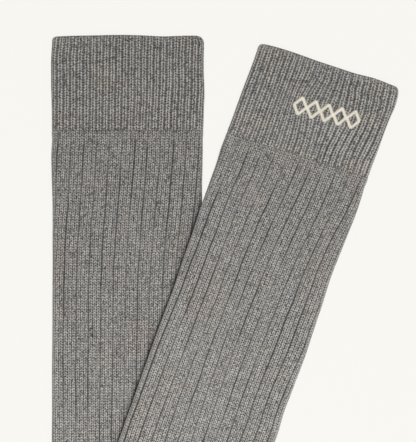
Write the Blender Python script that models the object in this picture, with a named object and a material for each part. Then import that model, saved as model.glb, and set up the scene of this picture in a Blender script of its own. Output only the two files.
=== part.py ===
"""A pair of ribbed crew socks laid flat, the upper one slanting across the lower one.

Each sock is a knitted tube pressed flat: two layers of wall joined by rounded side folds, open at the
cuff and closed at the toe. Its five pieces follow each other down one middle line, which runs straight
down the leg, turns at the ankle and runs straight along the foot. The back fold of the leg becomes the
heel and the sole, and the front fold becomes the instep.

The ribs are raised in the outer points of the upper layer, over a plain inside. The underside is plain,
because it rests on the surface. Where the upper sock crosses the lower one it climbs onto it, so its two
layers lie on the lower sock's two layers.

Metres, +Z up. +Y runs towards the cuffs, +X towards the toes. The origin is at the bottom centre of the
pair's box.
"""

import math
from collections import namedtuple

import bmesh
import bpy
import numpy as np

# The wall
UNDER_LAYER = 0.0019
HOLLOW = 0.0003
TOP_LAYER = 0.0022
THICKNESS = UNDER_LAYER + HOLLOW + TOP_LAYER
FOLD_WALL = 0.0021
SEAM_GAP = 0.0003

# The middle line
CUFF_DEPTH = 0.0535
ANKLE_DROP = 0.2450
ANKLE_BEND = math.radians(65)
INSTEP_RADIUS = 0.0120
TURN_RADIUS = INSTEP_RADIUS + 0.0420
TURN_END = ANKLE_DROP + ANKLE_BEND * TURN_RADIUS
FOOT_LENGTH = 0.1180
TOE_LENGTH = 0.0520
TOE_START = TURN_END + FOOT_LENGTH
TOE_TIP = TOE_START + TOE_LENGTH
LEG_START = CUFF_DEPTH + SEAM_GAP
LEG_END = ANKLE_DROP - SEAM_GAP
FOOT_START = TURN_END + SEAM_GAP
FOOT_END = TOE_START - SEAM_GAP

# The outline
FOOT_WIDTH = 0.0810
HEEL_BULGE = 0.0100
TOE_FRONT_SHARE = 0.58
TOE_TIP_ANGLE = math.radians(76)

# The ribs
CUFF_RIBS = 24
LEG_RIBS = 12
CUFF_GROOVE_SHARE = 0.46
LEG_GROOVE_SHARE = 0.26
CUFF_RELIEF = 0.0007
LEG_RELIEF = 0.0006
RIB_FADE = 0.0060

# The rounded lips of the mouth and of the toe: distance from the edge, and the share of the thickness
LIP = ((0.0, 0.45), (0.0008, 0.82), (0.0024, 1.0))
INNER_TOE_STOP = 0.0060

# How closely the rings are sampled
FOLD_POINTS = 3
UNDER_POINTS = 13
INNER_POINTS = 13
PLAIN_POINTS = 7

# How the upper sock climbs onto the lower one
CLEARANCE = 0.0003
CLIMB_MARGIN = 0.0020
CLIMB_LENGTH = 0.0180

# One row for each knitted piece, from the mouth down. ribbed_share is counted from the front fold, and
# the two steps are the distances between rings on the flat sock and on the draped one
Piece = namedtuple("Piece", "name first last ribs ribbed_share groove_share relief flat_step draped_step")
PIECES = (
    Piece("cuff", 0.0, CUFF_DEPTH, CUFF_RIBS, 1.0, CUFF_GROOVE_SHARE, CUFF_RELIEF, 0.0270, 0.0110),
    Piece("leg", LEG_START, LEG_END, LEG_RIBS, 1.0, LEG_GROOVE_SHARE, LEG_RELIEF, 0.0400, 0.0086),
    Piece("heel", ANKLE_DROP, TURN_END, LEG_RIBS, 0.5, LEG_GROOVE_SHARE, LEG_RELIEF, 0.0070, 0.0070),
    Piece("foot", FOOT_START, FOOT_END, LEG_RIBS, 0.5, LEG_GROOVE_SHARE, LEG_RELIEF, 0.0300, 0.0086),
    Piece("toe", TOE_START, TOE_TIP, 0, 0.0, 0.0, 0.0, 0.0058, 0.0058),
)

# Where each sock lies: the middle of its mouth, the lean of its leg, the tilt of its courses against
# the leg, and its widths across the cuff and the leg
Laid = namedtuple("Laid", "name mouth_x mouth_y lean course_tilt cuff_width leg_width draped")
LOWER = Laid("lower", -0.0457, 0.1050, 0.0, 0.0, 0.0860, 0.0850, False)
UPPER = Laid("upper", 0.0687, 0.0878, math.radians(-19.5), math.radians(2.2), 0.0845, 0.0834, True)

Look = namedtuple("Look", "red green blue roughness")
YARN = Look(0.245, 0.235, 0.222, 0.95)


def smooth(share):
    """0 to 1 with level ends."""
    share = min(max(share, 0.0), 1.0)
    return share * share * (3.0 - 2.0 * share)


def width_at(sock, along):
    """The flat width, without the heel's bulge or the toe's rounding."""
    below_cuff = smooth((along - CUFF_DEPTH) / RIB_FADE)
    on_foot = smooth((along - ANKLE_DROP) / (TURN_END - ANKLE_DROP))
    leg = sock.cuff_width + (sock.leg_width - sock.cuff_width) * below_cuff
    return leg + (FOOT_WIDTH - leg) * on_foot


def edges_at(sock, along):
    """The back and front ends of the section at a distance down the middle line, before placing."""
    width = width_at(sock, along)
    pivot_x = sock.leg_width / 2 + INSTEP_RADIUS
    if along <= ANKLE_DROP:
        return (-width / 2, -along), (width / 2, -along)
    turn = min((along - ANKLE_DROP) / TURN_RADIUS, ANKLE_BEND)
    bulge = HEEL_BULGE * math.sin(math.pi * turn / ANKLE_BEND) ** 2
    run = max(along - TURN_END, 0.0)
    rounding = math.cos(TOE_TIP_ANGLE * max(along - TOE_START, 0.0) / TOE_LENGTH)
    if along > TOE_START:
        run = FOOT_LENGTH + TOE_LENGTH * math.sin(TOE_TIP_ANGLE * (along - TOE_START) / TOE_LENGTH)
    near = INSTEP_RADIUS + (1.0 - rounding) * width * TOE_FRONT_SHARE
    far = INSTEP_RADIUS + width + bulge - (1.0 - rounding) * width * (1.0 - TOE_FRONT_SHARE)
    across = (-math.cos(turn), -math.sin(turn))
    onward = (math.sin(turn), -math.cos(turn))
    front = tuple((pivot_x, -ANKLE_DROP)[k] + near * across[k] + run * onward[k] for k in (0, 1))
    back = tuple((pivot_x, -ANKLE_DROP)[k] + far * across[k] + run * onward[k] for k in (0, 1))
    return back, front


def plan_point(sock, along, share):
    """The place of a point on the surface plan: share runs from 0 at the back fold to 1 at the front."""
    tilt_left = 1.0 - smooth(along / ANKLE_DROP)
    tilted = along - math.tan(sock.course_tilt) * tilt_left * (share - 0.5) * width_at(sock, along)
    back, front = edges_at(sock, tilted)
    x = back[0] + (front[0] - back[0]) * share
    y = back[1] + (front[1] - back[1]) * share
    cos, sin = math.cos(sock.lean), math.sin(sock.lean)
    return sock.mouth_x + x * cos - y * sin, sock.mouth_y + x * sin + y * cos


def outline(sock, step=0.006):
    """The closed outline of a laid sock, down its back fold and up its front fold."""
    count = round(TOE_TIP / step)
    stations = [TOE_TIP * k / count for k in range(count + 1)]
    back = [plan_point(sock, along, 0.0) for along in stations]
    front = [plan_point(sock, along, 1.0) for along in reversed(stations)]
    return np.array(back + front)


LOWER_OUTLINE = outline(LOWER)


def distance_outside(x, y):
    """The distance from a point to the lower sock's outline, and 0 within it."""
    start = LOWER_OUTLINE
    end = np.roll(start, -1, axis=0)
    run = end - start
    point = np.array((x, y))
    share = np.clip(((point - start) * run).sum(1) / np.maximum((run * run).sum(1), 1e-12), 0, 1)
    nearest = np.sqrt((((start + run * share[:, None]) - point) ** 2).sum(1)).min()
    spans = (start[:, 1] > y) != (end[:, 1] > y)
    rise = np.where(run[:, 1] == 0, 1.0, run[:, 1])
    crossings = np.count_nonzero(spans & (x < start[:, 0] + (y - start[:, 1]) * run[:, 0] / rise))
    return 0.0 if crossings % 2 else nearest


def lift_at(sock, x, y):
    """The height of a sock's underside above the surface."""
    if not sock.draped:
        return 0.0
    outside = distance_outside(x, y) - CLIMB_MARGIN
    return (THICKNESS + CLEARANCE) * (1.0 - smooth(outside / CLIMB_LENGTH))


def lip_at(along):
    """The share of the thickness left near the mouth and near the toe's tip."""
    edge = min(along, TOE_TIP - along)
    distances, shares = zip(*LIP)
    return float(np.interp(edge, distances, shares))


def rib_points(piece, relief, start, end):
    """The ribs from the front to the back: the two shoulders of each crest and the groove behind it."""
    pitch = (end - start) / round(piece.ribs * piece.ribbed_share)
    shoulder = pitch * piece.groove_share / 2
    points = []
    groove = end
    while groove > start + pitch / 2:
        groove -= pitch
        points.append((groove + pitch - shoulder, THICKNESS))
        points.append((groove + shoulder, THICKNESS))
        points.append((groove, THICKNESS - relief))
    return points


def top_points(piece, relief, start, end):
    """The top of the upper layer from the front to the back, as (distance from the back, height)."""
    ribbed_from = end - (end - start) * piece.ribbed_share
    points = rib_points(piece, relief, ribbed_from, end) if piece.ribs else [(end, THICKNESS)]
    if piece.ribbed_share < 1.0:
        plain_count = PLAIN_POINTS if piece.ribs else UNDER_POINTS - 1
        step = (ribbed_from - start) / plain_count
        points += [(ribbed_from - step * (k + 1), THICKNESS - relief) for k in range(plain_count)]
    return points


def fold_points(centre, radius, count, side):
    """The points of a side fold between its two layers, upwards for the front and downwards for the back."""
    angles = [math.pi * (k + 1) / (count + 1) - math.pi / 2 for k in range(count)]
    if side > 0:
        return [(centre + radius * math.cos(a), radius + radius * math.sin(a)) for a in angles]
    return [(centre - radius * math.cos(a), radius - radius * math.sin(a)) for a in angles]


def outer_ring(piece, width, relief):
    """The outer section: along the underside, up the front fold, back over the ribs, down the back fold."""
    radius = THICKNESS / 2
    start, end = radius, width - radius
    under = [(start + (end - start) * k / (UNDER_POINTS - 1), 0.0) for k in range(UNDER_POINTS)]
    front = fold_points(end, radius, FOLD_POINTS, 1)
    top = top_points(piece, relief, start, end)
    back = fold_points(start, radius, FOLD_POINTS, -1)
    return under + front + top + back


def inner_ring(width):
    """The thin hollow between the layers, in the same order."""
    start, end = FOLD_WALL, width - FOLD_WALL
    across = [start + (end - start) * k / (INNER_POINTS - 1) for k in range(INNER_POINTS)]
    under = [(a, UNDER_LAYER) for a in across]
    top = [(a, UNDER_LAYER + HOLLOW) for a in reversed(across)]
    return under + top


def place_ring(mesh, sock, along, width, ring, thickness_share):
    """Makes a ring's vertices at their place on the surface and on the lower sock."""
    middle = THICKNESS / 2
    made = []
    for across, height in ring:
        x, y = plan_point(sock, along, across / width)
        z = middle + (height - middle) * thickness_share + lift_at(sock, x, y)
        made.append(mesh.verts.new((x, y, z)))
    return made


def join_rings(mesh, first, second):
    """A band of quads between two rings of as many points."""
    count = len(first)
    for k in range(count):
        after = (k + 1) % count
        mesh.faces.new((first[k], first[after], second[after], second[k]))


def turns_of(section, width):
    """How far round the section each point lies, in rising turns: the lower layer, then the upper."""
    turns = []
    for across, height in section:
        half = 0.5 * across / width
        turn = half if height < UNDER_LAYER + HOLLOW / 2 else 1.0 - half
        turns.append(turn + 1.0 if turns and turn < turns[-1] else turn)
    return turns


def close_end(mesh, outer, inner, outer_section, inner_section, width):
    """The rim of the wall at an open end, zipped between rings of different counts."""
    turns = [turns_of(section, width) for section in (outer_section, inner_section)]
    rings = (outer, inner)
    at = [0, 0]
    while at[0] < len(outer) or at[1] < len(inner):
        following = [
            turns[side][at[side] + 1] if at[side] + 1 < len(rings[side]) else 1.0 + turns[side][0]
            for side in (0, 1)
        ]
        side = 0 if following[0] <= following[1] else 1
        if at[side] >= len(rings[side]):
            side = 1 - side
        here = [rings[k][at[k] % len(rings[k])] for k in (0, 1)]
        after = rings[side][(at[side] + 1) % len(rings[side])]
        mesh.faces.new((here[0], here[1], after))
        at[side] += 1


def stations_of(piece, sock):
    """The distances down the middle line where a piece has a ring."""
    step = piece.draped_step if sock.draped else piece.flat_step
    count = max(1, round((piece.last - piece.first) / step))
    stations = {piece.first + (piece.last - piece.first) * k / count for k in range(count + 1)}
    if piece.name == "cuff":
        stations |= {distance for distance, _ in LIP}
    if piece.name == "leg":
        stations.add(piece.first + RIB_FADE)
    if piece.name == "toe":
        stations |= {TOE_TIP - distance for distance, _ in LIP}
    return sorted(stations)


def relief_at(piece, along):
    """The height of the ribs, which fade at the mouth and where the cuff meets the leg."""
    if piece.name == "cuff":
        return piece.relief * smooth(along / LIP[-1][0])
    if piece.name == "leg":
        return piece.relief * (0.3 + 0.7 * smooth((along - piece.first) / RIB_FADE))
    return piece.relief


def knit_piece(collection, material, sock, piece):
    """One piece of a sock as a closed wall: an outer skin, an inner skin and the rims that join them."""
    mesh = bmesh.new()
    outer, inner, sections = [], [], []
    for along in stations_of(piece, sock):
        width = np.hypot(*np.subtract(*edges_at(sock, along)))
        outer_section = outer_ring(piece, width, relief_at(piece, along))
        inner_section = inner_ring(width)
        outer.append(place_ring(mesh, sock, along, width, outer_section, lip_at(along)))
        sections.append((outer_section, inner_section, width))
        if along <= TOE_TIP - INNER_TOE_STOP:
            inner.append(place_ring(mesh, sock, along, width, inner_section, 1.0))
    for skin in (outer, inner):
        for first, second in zip(skin, skin[1:]):
            join_rings(mesh, first, second)
    close_end(mesh, outer[0], inner[0], *sections[0])
    if piece.name == "toe":
        mesh.faces.new(outer[-1])
        mesh.faces.new(inner[-1])
    else:
        close_end(mesh, outer[-1], inner[-1], *sections[-1])
    bmesh.ops.recalc_face_normals(mesh, faces=mesh.faces)
    bmesh.ops.triangulate(mesh, faces=mesh.faces)
    data = bpy.data.meshes.new(f"{sock.name}_{piece.name}")
    mesh.to_mesh(data)
    mesh.free()
    data.materials.append(material)
    made = bpy.data.objects.new(data.name, data)
    collection.objects.link(made)
    return made


def yarn_material():
    """Heathered grey wool blend, soft and dull."""
    material = bpy.data.materials.new("grey_heather_knit")
    material.use_nodes = True
    shader = material.node_tree.nodes["Principled BSDF"]
    shader.inputs["Base Color"].default_value = (YARN.red, YARN.green, YARN.blue, 1.0)
    shader.inputs["Roughness"].default_value = YARN.roughness
    shader.inputs["Metallic"].default_value = 0.0
    return material


def centre_pair(pieces):
    """Moves the meshes together so that the origin is at the bottom centre of their box."""
    points = np.array([vertex.co for piece in pieces for vertex in piece.data.vertices])
    low, high = points.min(0), points.max(0)
    middle = (low + high) / 2
    for piece in pieces:
        for vertex in piece.data.vertices:
            vertex.co.x -= middle[0]
            vertex.co.y -= middle[1]
            vertex.co.z -= low[2]


def main():
    for leftover in list(bpy.data.objects):
        bpy.data.objects.remove(leftover)
    collection = bpy.data.collections.new("ribbed_socks")
    bpy.context.scene.collection.children.link(collection)
    material = yarn_material()
    pieces = [knit_piece(collection, material, sock, piece) for sock in (LOWER, UPPER) for piece in PIECES]
    centre_pair(pieces)


main()
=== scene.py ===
"""A pair of ribbed socks in heathered grey knit, lying flat, one slanting across the other.

Laid out as a Blender add-on. One operator knits each kind of piece for both socks, one embroiders the upper
cuff and one sets the stage. A knitted piece is one grid rolled into a closed wall: its columns follow the
wales round the flattened tube, and its rows follow the courses down the outside and back along the inside.

Metres, +Z up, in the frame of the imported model. Distances "along" run down a sock's middle line from its
mouth; distances "across" run from the back fold to the front fold.
"""

import math
from collections import namedtuple

import bmesh
import bpy
import numpy as np
from mathutils import Matrix, Vector


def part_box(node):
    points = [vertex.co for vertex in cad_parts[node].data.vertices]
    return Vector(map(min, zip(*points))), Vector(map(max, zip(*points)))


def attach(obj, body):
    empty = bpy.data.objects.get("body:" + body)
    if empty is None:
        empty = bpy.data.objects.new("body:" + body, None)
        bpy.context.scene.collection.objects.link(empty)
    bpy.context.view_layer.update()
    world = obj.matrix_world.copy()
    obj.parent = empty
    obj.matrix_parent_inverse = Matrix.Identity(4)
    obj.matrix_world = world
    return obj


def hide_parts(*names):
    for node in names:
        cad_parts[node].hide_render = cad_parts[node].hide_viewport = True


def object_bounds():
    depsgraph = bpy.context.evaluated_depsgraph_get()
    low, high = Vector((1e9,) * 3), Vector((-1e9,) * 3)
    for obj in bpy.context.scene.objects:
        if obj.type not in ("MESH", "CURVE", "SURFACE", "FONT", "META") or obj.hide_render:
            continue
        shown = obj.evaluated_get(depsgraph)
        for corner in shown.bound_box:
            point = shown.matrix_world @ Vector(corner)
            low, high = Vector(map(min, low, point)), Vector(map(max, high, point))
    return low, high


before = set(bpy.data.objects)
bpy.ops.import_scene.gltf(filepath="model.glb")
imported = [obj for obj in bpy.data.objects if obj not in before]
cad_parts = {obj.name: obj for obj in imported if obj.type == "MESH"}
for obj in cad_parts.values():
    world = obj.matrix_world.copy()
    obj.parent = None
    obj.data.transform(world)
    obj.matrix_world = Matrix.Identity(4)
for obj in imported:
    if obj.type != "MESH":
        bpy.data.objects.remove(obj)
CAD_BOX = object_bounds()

bl_info = {
    "name": "Ribbed Sock Pair",
    "version": (1, 0, 0),
    "blender": (4, 5, 0),
    "location": "View3D > Sidebar > Socks",
    "description": "Knits a pair of ribbed socks lying flat, with a stage to show them on",
    "category": "Add Mesh",
}

BODY = "root"
MM = 0.001
MM_IN_METRE = 1000.0

# The wall, as the solids have it
UNDER_LAYER = 0.0019
HOLLOW = 0.0003
TOP_LAYER = 0.0022
THICKNESS = UNDER_LAYER + HOLLOW + TOP_LAYER
FOLD_WALL = 0.0021

# The middle line
CUFF_DEPTH = 0.0535
ANKLE_DROP = 0.2450
ANKLE_BEND = math.radians(65)
INSTEP_RADIUS = 0.0120
TURN_RADIUS = INSTEP_RADIUS + 0.0420
TURN_END = ANKLE_DROP + ANKLE_BEND * TURN_RADIUS
LEG_WIDTH_EASE = 0.006
FOOT_LENGTH = 0.1180
TOE_LENGTH = 0.0520
TOE_START = TURN_END + FOOT_LENGTH
TOE_TIP = TOE_START + TOE_LENGTH
FOOT_WIDTH = 0.0810
HEEL_BULGE = 0.0100
TOE_FRONT_SHARE = 0.58
TOE_TIP_ANGLE = math.radians(76)

# The rounded lips of the mouth and of the toe
LIP = ((0.0, 0.45), (0.0008, 0.82), (0.0024, 1.0))
INNER_TOE_STOP = 0.0060

# How the upper sock climbs onto the lower one
CLEARANCE = 0.0003
CLIMB_MARGIN = 0.0020
CLIMB_LENGTH = 0.0180
LIFT_CELL = 0.0015

# Pieces of one sock meet this closely, so that the knit runs on
JOIN_GAP = 0.00002

# Where the needles and the courses of each piece start on the knit map
NEEDLE_START = 400.0
COURSE_START = {"cuff": 0.0, "leg": 40.0, "heel": 170.0, "foot": 230.0, "toe": 310.0}

Laid = namedtuple(
    "Laid",
    "name mouth_x mouth_y lean course_tilt cuff_width leg_width back_corner front_corner draped tone crisp"
    " seed",
)
LOWER = Laid(
    name="lower",
    mouth_x=-0.0457,
    mouth_y=0.1050,
    lean=0.0,
    course_tilt=0.0,
    cuff_width=0.0860,
    leg_width=0.0850,
    back_corner=0.0026,
    front_corner=0.0044,
    draped=False,
    tone=0.0,
    crisp=1.0,
    seed=11,
)
UPPER = Laid(
    name="upper",
    mouth_x=0.0687,
    mouth_y=0.0878,
    lean=math.radians(-19.5),
    course_tilt=math.radians(2.2),
    cuff_width=0.0845,
    leg_width=0.0834,
    back_corner=0.0030,
    front_corner=0.0024,
    draped=True,
    tone=0.028,
    crisp=0.94,
    seed=47,
)
SOCKS = (LOWER, UPPER)

# One row for each knitted piece. ribbed_share is counted from the front fold, rows is the number of mesh
# rows to a course, and extra is the number of finely sampled ribs past the back and the front folds
Piece = namedtuple("Piece", "name first last courses rows ribs ribbed_share extra inner_rows")
PIECES = (
    Piece("cuff", 0.0, CUFF_DEPTH, 35, 4, 24, 1.0, (1, 2), 8),
    Piece("leg", CUFF_DEPTH, ANKLE_DROP, 125, 3, 12, 1.0, (1, 2), 24),
    Piece("heel", ANKLE_DROP, TURN_END, 52, 3, 12, 0.5, (0, 2), 12),
    Piece("foot", TURN_END, TOE_START, 77, 2, 12, 0.5, (0, 2), 14),
    Piece("toe", TOE_START, TOE_TIP, 34, 3, 12, 0.0, (0, 2), 8),
)
PIECE = {piece.name: piece for piece in PIECES}

# The columns of one rib. needle counts knitted loops, depth is how far the column lies under the crest in
# millimetres, hump is 1 on the two legs of a loop and 0 between them, and the fourth is how much painted
# shade lies there, most in a groove.
# The knitted side of a rib mirrors itself, and its purl is narrower than a knitted needle
Column = namedtuple("Column", "needle depth hump dusk")
Rib = namedtuple("Rib", "knit_needles purl_width knitted purl")
CUFF_RIB = Rib(
    knit_needles=1,
    purl_width=0.19,
    knitted=(
        Column(0.00, 0.46, 0.0, 0.08),
        Column(0.25, 0.06, 1.0, 0.0),
        Column(0.50, 0.34, 0.0, 0.34),
    ),
    purl=Column(1.50, 1.00, 0.0, 0.85),
)
LEG_RIB = Rib(
    knit_needles=3,
    purl_width=0.20,
    knitted=(
        Column(0.00, 0.50, 0.0, 0.50),
        Column(0.25, 0.10, 1.0, 0.14),
        Column(0.50, 0.24, 0.0, 0.14),
        Column(0.75, 0.00, 1.0, 0.03),
        Column(1.00, 0.34, 0.0, 0.52),
        Column(1.25, 0.00, 1.0, 0.0),
        Column(1.50, 0.22, 0.0, 0.06),
    ),
    purl=Column(3.50, 1.00, 0.0, 0.95),
)
GROOVE_EDGE = 0.4
PLAIN_GROOVE = 0.28

# Where the upper leg's grooves stand out, in half turns from the back fold, from how far down, and how much
STRONG_GROOVES = (0.07, 0.86, 0.95)
STRONG_SPREAD = 0.030
STRONG_FROM = 0.075
STRONG_EASE = 0.020
STRONG_RELIEF = 1.30
FAINT_RELIEF = 0.12

# The loops: how deep the stitches lie, and how far round the sock's underside they are sampled
STITCH_DEPTH = 0.00020
LOOP_SLANT = 0.5
UNDER_COLUMNS = 18
UNDER_CROWDING = 0.8

# Soft random fields: how much each adds, its lumps to a half turn, their length down the sock, and a number
# that sets it apart
Field = namedtuple("Field", "amount lumps length layer")
CUFF_PATCHES = Field(0.28, 9, 0.016, 0)
LEG_PATCHES = Field(0.36, 12, 0.017, 0)
RIB_WANDER = Field(0.00020, 12, 0.012, 1)
SWELL = Field(0.00016, 4, 0.017, 2)
MOUTH_WEAR = Field(0.0024, 7, 0.02, 5)
# How unevenly the painted shade lies along the cuff's foot:
CUFF_FOOT_UNEVEN = Field(0.35, 9, 0.02, 6)
LATTICE = 64

# The mean share of their full depth that the ribs have, what is left of it at the mouth and at the leg's
# start, and what is lost at the cuff's foot and under the embroidery
CUFF_RELIEF = 0.90
LEG_RELIEF = 0.84
MOUTH_RELIEF = 0.25
MOUTH_START = 0.0006
MOUTH_REACH = 0.0038
LEG_START_RELIEF = 0.30
LEG_START_REACH = 0.010
CUFF_FOOT_LOSS = 0.40
CUFF_FOOT_REACH = 0.0024
BADGE_LOSS = 0.35
BADGE_LOSS_ALONG = 0.0080
BADGE_LOSS_TURN = 0.25

# From which share of the thickness the knit stands out, and over how much of it
RELIEF_FROM = 0.10
RELIEF_OVER = 0.45

# How far the ribs have slid round the sock towards the front fold, in millimetres, at these distances down
# it: at the back fold, at the quarters between the folds, and at the front fold
Slide = namedtuple("Slide", "along back rear middle fore front")
SLIDES = {
    "lower_cuff": (
        Slide(0, 1.3, 1.8, 1.2, 0.3, -0.6),
        Slide(22, 1.2, 1.4, 1.0, -0.1, -1.0),
        Slide(53, 0.8, 1.0, 0.1, -1.2, -2.0),
    ),
    "lower_leg": (
        Slide(60, -1.7, -2.2, -2.5, -2.7, -3.1),
        Slide(88, -3.3, -3.8, -4.3, -4.8, -4.5),
        Slide(112, -4.7, -5.9, -6.6, -7.0, -7.2),
        Slide(136, -6.0, -6.8, -7.7, -8.9, -9.2),
        Slide(184, -6.5, -7.0, -8.0, -9.7, -10.0),
        Slide(230, -5.4, -6.7, -8.9, -10.0, -10.0),
        Slide(400, 0.0, 0.0, 0.0, 0.0, 0.0),
    ),
    "upper_cuff": (
        Slide(0, 0.0, 0.6, -0.1, 0.1, 2.0),
        Slide(40, 0.0, 0.5, 0.2, 0.3, 1.1),
        Slide(53, 0.0, 0.5, 0.6, 0.1, 0.6),
    ),
    "upper_leg": (
        Slide(60, 2.4, 2.2, 2.4, 2.2, 3.0),
        Slide(88, 1.0, 0.1, -0.1, -0.1, -2.0),
        Slide(112, -0.1, -0.8, -2.2, -2.4, -3.0),
        Slide(136, -0.6, -1.1, -3.1, -3.7, -2.8),
        Slide(160, -1.6, -1.8, -3.8, -4.7, -3.9),
        Slide(184, -2.6, -2.2, -3.6, -5.1, -5.2),
        Slide(230, -3.0, -2.5, -2.5, -5.3, -5.4),
        Slide(400, 0.0, 0.0, 0.0, 0.0, 0.0),
    ),
}
SLIDE_EASE = (-0.010, -0.005, 0.0, 0.005, 0.010)

# How far the embroidery pushes the ribs of the upper cuff aside, in millimetres from the cuff's middle, and
# how strongly at distances down the cuff
Push = namedtuple("Push", "across push")
PUSHES = (
    Push(-18, 0.0),
    Push(-12, -1.2),
    Push(-3, -2.7),
    Push(6, -0.6),
    Push(17, 2.6),
    Push(27, 2.0),
    Push(42, 1.1),
)
Reach = namedtuple("Reach", "along share")
REACHES = (Reach(9, 0.0), Reach(14, 0.5), Reach(20, 1.0), Reach(30, 0.85), Reach(36, 0.4), Reach(45, 0.0))

# Dents and swells of the folds, in millimetres: where down the sock, how long, and how far they lie towards
# the front
Dent = namedtuple("Dent", "along spread rise")
DENTS = {
    "lower_back": (
        Dent(2, 5, 0.25),
        Dent(14, 6, -0.25),
        Dent(25, 12, -0.4),
        Dent(68, 9, -0.7),
        Dent(82, 9, -0.4),
        Dent(150, 20, -0.15),
        Dent(192, 22, -0.4),
        Dent(231, 18, -0.5),
        Dent(330, 15, 0.5),
    ),
    "lower_front": (
        Dent(0, 14, 0.35),
        Dent(27, 26, 0.42),
        Dent(6, 6, 0.12),
        Dent(33, 9, 0.6),
        Dent(47, 6, 0.2),
        Dent(72, 9, 0.2),
        Dent(62, 8, 0.3),
        Dent(205, 14, -0.4),
        Dent(340, 18, 0.5),
    ),
    "upper_back": (
        Dent(10, 14, 0.5),
        Dent(62, 9, -0.8),
        Dent(80, 9, -0.35),
        Dent(95, 12, -0.5),
        Dent(150, 16, 0.4),
        Dent(330, 16, 0.5),
    ),
    "upper_front": (
        Dent(0, 3, -0.8),
        Dent(11, 7, 0.8),
        Dent(48, 8, -0.3),
        Dent(74, 12, 0.85),
        Dent(113, 13, -0.7),
        Dent(160, 14, 0.5),
        Dent(194, 8, -0.3),
        Dent(207, 9, 0.5),
        Dent(350, 16, -0.5),
    ),
}

# Waves of the mouth's edge: at a share of the width from the back fold, how wide, and how many millimetres
# down the sock
Ripple = namedtuple("Ripple", "share spread drop")
RIPPLES = {
    "lower": (
        Ripple(0.0, 0.12, 0.45),
        Ripple(0.45, 0.15, -0.4),
        Ripple(0.74, 0.09, 0.45),
    ),
    "upper": (
        Ripple(0.18, 0.28, -1.4),
        Ripple(0.57, 0.12, -0.3),
        Ripple(0.82, 0.11, -0.9),
    ),
}
RIPPLE_REACH = 0.050

# Soft creases and ridges of the upper layer, in millimetres across from the middle line and down the sock:
# where each runs from and to, its half width, and its depth (a ridge is less than nothing)
Crease = namedtuple("Crease", "from_across from_along to_across to_along spread depth")
CREASES = {
    "lower": (
        Crease(-38, 3, 36, 5, 3.0, -0.25),
        Crease(-30, 58, 6, 56, 4.0, 0.45),
        Crease(12, 57, 40, 60, 3.5, 0.35),
        Crease(-12, 96, -24, 150, 6.0, -0.35),
        Crease(20, 88, 8, 132, 5.0, 0.30),
        Crease(-34, 160, -10, 196, 6.0, 0.30),
        Crease(24, 196, -6, 214, 5.5, 0.45),
        Crease(38, 236, 2, 252, 5.0, 0.80),
        Crease(36, 256, 6, 268, 4.0, 0.70),
        Crease(34, 276, 10, 292, 5.0, 0.55),
        Crease(-20, 330, 18, 344, 6.0, 0.40),
    ),
    "upper": (
        Crease(-36, 5, 38, 3, 3.0, -0.25),
        Crease(-10, 13, 30, 15, 4.0, 0.45),
        Crease(28, 40, 4, 52, 4.5, 0.50),
        Crease(-6, 36, -20, 48, 4.0, 0.35),
        Crease(22, 58, 34, 92, 5.0, 0.40),
        Crease(-18, 84, -4, 118, 6.0, -0.35),
        Crease(-26, 128, -8, 176, 6.0, 0.30),
        Crease(18, 150, 4, 208, 6.0, -0.35),
        Crease(38, 234, 0, 250, 5.0, 0.80),
        Crease(36, 255, 4, 266, 4.0, 0.65),
        Crease(30, 288, 4, 300, 5.0, 0.45),
        Crease(-22, 348, 14, 356, 6.0, 0.40),
    ),
}

# Soft patches of painted light and shade on the knit, in millimetres from the middle line and down the sock
LightShadePatch = namedtuple("LightShadePatch", "across along half_width half_length tone")
LIGHT_AND_SHADE_PATCHES = {
    "lower": (
        LightShadePatch(0, 5, 60, 5, -0.030),
        LightShadePatch(-8, 27, 26, 12, 0.030),
        LightShadePatch(-10, 50, 30, 5, -0.040),
        LightShadePatch(30, 46, 14, 8, -0.020),
        LightShadePatch(-20, 205, 14, 12, 0.020),
    ),
    "upper": (
        LightShadePatch(0, 26, 60, 22, -0.014),
        LightShadePatch(10, 11, 20, 6, -0.120),
        LightShadePatch(34, 20, 9, 9, -0.045),
        LightShadePatch(-24, 24, 12, 12, 0.015),
        LightShadePatch(41, 34, 7, 17, 0.15),
        LightShadePatch(6, 34, 18, 5, 0.030),
        LightShadePatch(24, 50, 16, 6, -0.035),
        LightShadePatch(-8, 86, 8, 12, 0.030),
        LightShadePatch(-6, 98, 6, 5, -0.040),
        LightShadePatch(-24, 168, 12, 22, 0.020),
    ),
}

# Dark slubs of yarn, in metres from the middle line and down the sock
Slub = namedtuple("Slub", "across along spread dusk")
SLUBS = {
    "lower": (
        Slub(-0.0198, 0.1696, 0.0010, 0.95),
        Slub(-0.0278, 0.1837, 0.0007, 0.8),
    ),
    "upper": (
        Slub(0.0105, 0.3120, 0.0009, 1.0),
    ),
}

# A cuff's tight ribs hold more shade than their yarn has, so its yarn is a little lighter
CUFF_TONE = 0.098
CUFF_CRISP = 1.20

# How much painted shade lies all along the line between the two legs of a loop, and on the rows between
# loops. The tight ribs of a cuff show strands beside a line, the other pieces more of each loop
Shade = namedtuple("Shade", "line row")
CUFF_SHADE = Shade(0.50, 0.22)
PLAIN_SHADE = Shade(0.40, 0.42)
LOOP_SHADE = 1.15

# How the painted shade of a groove, and of the columns between grooves, follows the relief there. On the
# upper cuff both change by a share of themselves, from the first value at the back by the second towards the
# front
GROOVE_POWER = 1.3
BETWEEN_POWER = 0.4
UPPER_CUFF_GROOVE = (1.15, 0.30)
UPPER_CUFF_BETWEEN = (0.75, -0.50)
UPPER_CUFF_CHANGE = (0.40, 0.25)

# The sunk rows where the cuff ends, and the painted shade along them
CUFF_FOOT_SPREAD = 0.0012
CUFF_FOOT_SINK = 0.00024
CUFF_FOOT_SHADE = 0.22
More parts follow.
